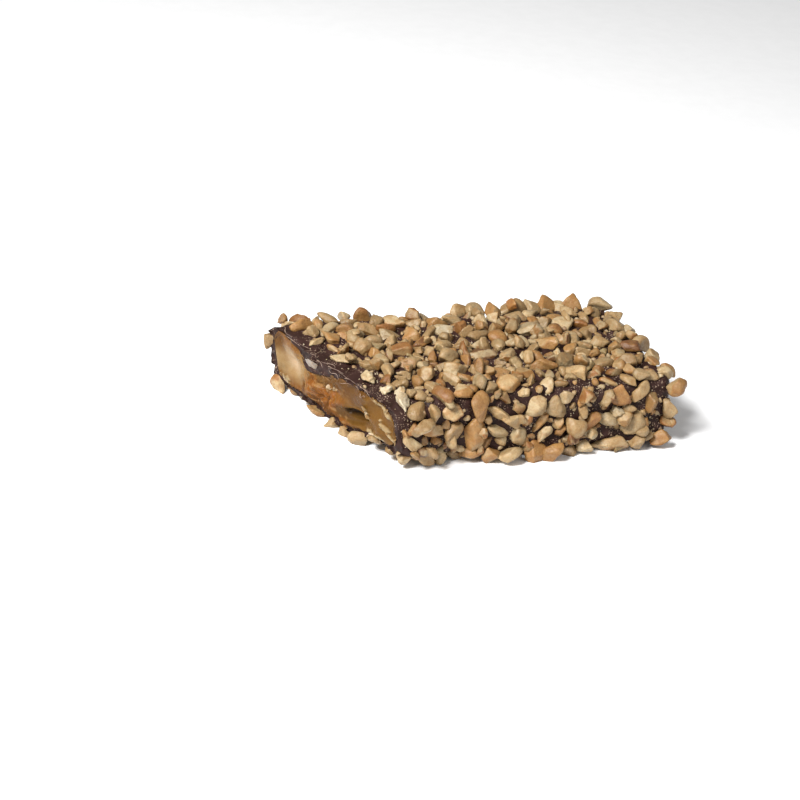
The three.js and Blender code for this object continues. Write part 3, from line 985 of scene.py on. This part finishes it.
def toffee_face(half):
    """The torn face, half wide to each side, as a grid of points."""
    across, upward = np.linspace(-1, 1, FACE_COLUMNS), np.linspace(0, 1, FACE_ROWS)
    y, radius = half * across, SLAB.corner
    past_side = np.maximum(np.abs(y) - (half - radius), 0)
    round_off = radius - np.sqrt(np.maximum(radius**2 - past_side**2, 0))
    at = on_face(y, np.zeros_like(y))
    bottom = along(SLAB.under, y) + round_off + 0.35 * waves(at, 1.3, 38) + 0.15 * waves(at, 0.5, 39)
    top = along(SLAB.top, y) - round_off + 0.35 * waves(at, 1.1, 40) + 0.15 * waves(at, 0.45, 46)
    ys = np.broadcast_to(y, (FACE_ROWS, FACE_COLUMNS)).ravel()
    zs = (bottom + (top - bottom) * upward[:, None]).ravel()
    from_side = np.minimum(1 - np.abs(across), 1) * half
    from_top = np.minimum(upward, 1 - upward)[:, None] * 10
    edge = np.minimum(from_side, from_top).ravel()
    relief = toffee_relief(ys, zs) * smoothstep(edge, -0.2, 1.0)
    return np.stack([cut_x(ys, zs) + relief + 0.1, ys, zs], axis=1)


def toffee_sides(start, half):
    """Rings from the face's rim to the whole end, more regular the farther they are from the cut."""
    middle = SLAB.middle
    level = start[:, 2] - middle
    regular = middle + level / np.abs(level).max() * SLAB.half_height * 0.98
    squeezed = start[:, 1] * SLAB.half_width / half
    rings = []
    for share in np.linspace(0, 1, SIDE_RINGS + 1)[1:] ** 1.5:
        x = start[:, 0] + (SLAB.end - start[:, 0]) * share
        shrink = 1 - 0.10 * smoothstep(share, 0.95, 1.0)
        fade = np.exp(-(x - start[:, 0]) / CUT_FADE)
        z = start[:, 2] * fade + regular * (1 - fade)
        y = squeezed * flare_at(x, SLAB) * shrink
        rings.append(np.stack([x, y, middle + (z - middle) * shrink], axis=1))
    return rings


def build_toffee():
    """The slab: a finely divided face at the cut, and sides that follow the chocolate's inner surface."""
    half = SLAB.half_width + FLARE - 0.05
    face = toffee_face(half)
    index = np.arange(len(face)).reshape(FACE_ROWS, FACE_COLUMNS)
    quads = [index[:-1, :-1], index[1:, :-1], index[1:, 1:], index[:-1, 1:]]
    rim = np.concatenate([index[0, :], index[1:, -1], index[-1, -2::-1], index[-2:0:-1, 0]])
    points = np.concatenate([face] + toffee_sides(face[rim], half))
    order = np.concatenate([rim, np.arange(len(face), len(points))]).reshape(-1, len(rim))
    faces = np.concatenate([np.stack(quads, axis=-1).reshape(-1, 4), ring_faces(order)]).tolist()
    tints = toffee_tint(points[:, 1], points[:, 2])
    faces.append(order[-1].tolist())
    tidy(add_piece("toffee", points, faces, "toffee_core", TOFFEE, tints))


def shard(rng, heap, place, half, tint, tone):
    """A torn flake lying on the plane of the cut, leaning at random."""
    points, faces, shade = nut_shape(rng, np.array(half), tint, tint, 4, crumbly=1.6)
    outward = unit(np.array([-1.0, -CUT_SKEW, -CUT_RAKE]))
    lean = unit(outward + 0.45 * rng.normal(size=3))
    heap.add(points @ frame_at(lean, rng.uniform(0, 2 * math.pi)) + place, faces, shade / NUT_TONE * tone)


def build_flakes():
    """Pale flakes torn up along the streaks and a ledge, and a white fragment near the top of the face."""
    rng = np.random.default_rng(FLAKE_SEED)
    heap = Heap()
    for (y0, z0), (y1, z1), count in [(*streak[:2], 4) for streak in STREAKS] + [FLAKED_LEDGE]:
        for share in rng.random(count):
            y = y0 + (y1 - y0) * share + rng.normal(0, 0.35)
            z = z0 + (z1 - z0) * share + rng.normal(0, 0.35)
            x = cut_x(y, z) + toffee_relief(np.array([y]), np.array([z]))[0]
            half = rng.uniform(0.35, 0.9) * np.array([1.0, rng.uniform(0.3, 0.6), 0.16])
            tint = mix(FLAKE_PALE, FLAKE_DARK, rng.random())
            shard(rng, heap, np.array([x, y, z]), half, tint, 0.5)
    y, z = FRAGMENT
    shard(rng, heap, np.array([cut_x(y, z) - 0.2, y, z]), (1.4, 1.2, 0.3), FRAGMENT_TINT, 0.42)
    heap.piece("toffee_flakes", "toffee", "toffee_core", TOFFEE)


# ---- The shavings ----

SHAVINGS, SHAVING_SEED = 20, 90


def thread(path, radius, sides=5):
    """A thin tapering thread along a path of points."""
    along_path = unit(np.gradient(path, axis=0))
    side = unit(np.cross(along_path, (0.3, 0.2, 1.0)))
    up = np.cross(side, along_path)
    taper = np.sin(np.linspace(0.12, math.pi - 0.12, len(path))) ** 0.5
    angles = np.arange(sides) * 2 * math.pi / sides
    across, upward = np.cos(angles)[None, :, None], 0.6 * np.sin(angles)[None, :, None]
    section = across * side[:, None] + upward * up[:, None]
    rings = path[:, None] + radius * taper[:, None, None] * section
    index = np.arange(len(path) * sides).reshape(-1, sides)
    faces = ring_faces(index).tolist() + [index[0, ::-1].tolist(), index[-1].tolist()]
    return rings.reshape(-1, 3), faces


def build_shavings():
    """Thin shavings of chocolate that the knife left along the cut's top edge."""
    rng = np.random.default_rng(SHAVING_SEED)
    points, faces, count = [], [], 0
    for _ in range(SHAVINGS):
        middle, length = rng.uniform(-16, 16), rng.uniform(1.2, 5.0)
        share = np.linspace(-0.5, 0.5, 14)
        y = middle + length * share
        wobble = rng.uniform(-0.5, 0.5) * np.sin(share * rng.uniform(3, 9) + rng.uniform(0, 6))
        behind = rng.normal(0.2, 0.5) + wobble + rng.uniform(-0.35, 0.35) * length * share
        arch = 2 * (0.25 - share**2)
        z = along(COAT.top, y) + rng.uniform(0.0, 0.12) + rng.uniform(0, 0.5) * arch
        z = z - 1.1 * np.maximum(-behind, 0)  # where it hangs over the cut
        path = np.stack([cut_x(y, z) + behind, y, z], axis=1)
        shape, quads = thread(path, rng.uniform(0.06, 0.11))
        points.append(shape)
        faces += [[i + count for i in quad] for quad in quads]
        count += len(shape)
    add_piece("shavings", np.concatenate(points), faces, "chocolate_coat", SHAVING)


# ---- The stage: places in metres, in the CAD frame ----

FLOOR_HALF = 3.0
LIGHTS = [  # name, place, size and power
    ("key", (-0.33, -0.18, 0.40), 0.16, 6.6),
    ("fill", (0.30, -0.45, 0.22), 0.40, 0.6),
]
SKY = 0.34  # the even light from all round

AIM = np.array([-15.65, 1.3, 4.67])  # the middle of the view, in millimetres in the working frame
AZIMUTH, ELEVATION, ROLL = (math.radians(angle) for angle in (-22.8, 27.25, 5.95))
DISTANCE = 0.448
LENS, SENSOR = 95.85, 36.0


def build_floor():
    mesh = bpy.data.meshes.new("floor")
    corners = [(x * FLOOR_HALF, y * FLOOR_HALF, 0) for x, y in ((-1, -1), (1, -1), (1, 1), (-1, 1))]
    mesh.from_pydata(corners, [], [(0, 1, 2, 3)])
    mesh.materials.append(floor_material())
    floor = add_object("floor", mesh)


def build_lights():
    """Two lamps that face the piece, in an even white surround."""
    scene = bpy.context.scene
    scene.world = bpy.data.worlds.new("studio")
    scene.world.use_nodes = True
    background = scene.world.node_tree.nodes["Background"]
    background.inputs["Color"].default_value = (1.0, 1.0, 1.0, 1.0)
    background.inputs["Strength"].default_value = SKY
    for name, place, size, power in LIGHTS:
        light = bpy.data.lights.new(name, "AREA")
        light.shape, light.size, light.energy = "SQUARE", size, power
        lamp = add_object(name, light)
        lamp.location = place
        lamp.rotation_euler = (-Vector(place)).to_track_quat("-Z", "Y").to_euler()
    scene.view_settings.view_transform = "Standard"
    scene.view_settings.look = "None"


def build_camera():
    level = math.cos(ELEVATION)
    back = Vector((math.sin(AZIMUTH) * level, -math.cos(AZIMUTH) * level, math.sin(ELEVATION)))
    camera = add_object("camera", bpy.data.cameras.new("camera"))
    camera.data.lens, camera.data.sensor_width = LENS, SENSOR
    camera.data.clip_start = 0.01
    turn = back.to_track_quat("Z", "Y").to_matrix() @ Matrix.Rotation(ROLL, 3, "Z")
    place = Vector((AIM + HOME) * MM) + back * DISTANCE
    camera.matrix_world = Matrix.Translation(place) @ turn.to_4x4()
    bpy.context.scene.camera = camera


build_camera()
build_floor()
build_lights()
build_toffee()
build_flakes()
build_chocolate(build_nuts())
build_shavings()
build_crumbs("crumbs", count=1700, sizes=(0.35, 0.75), steps=2, seed=50, on_bare=0.45, paleness=0.3)
build_crumbs("dust", count=6000, sizes=(0.10, 0.28), steps=1, seed=60, on_bare=0.8, paleness=0.8)
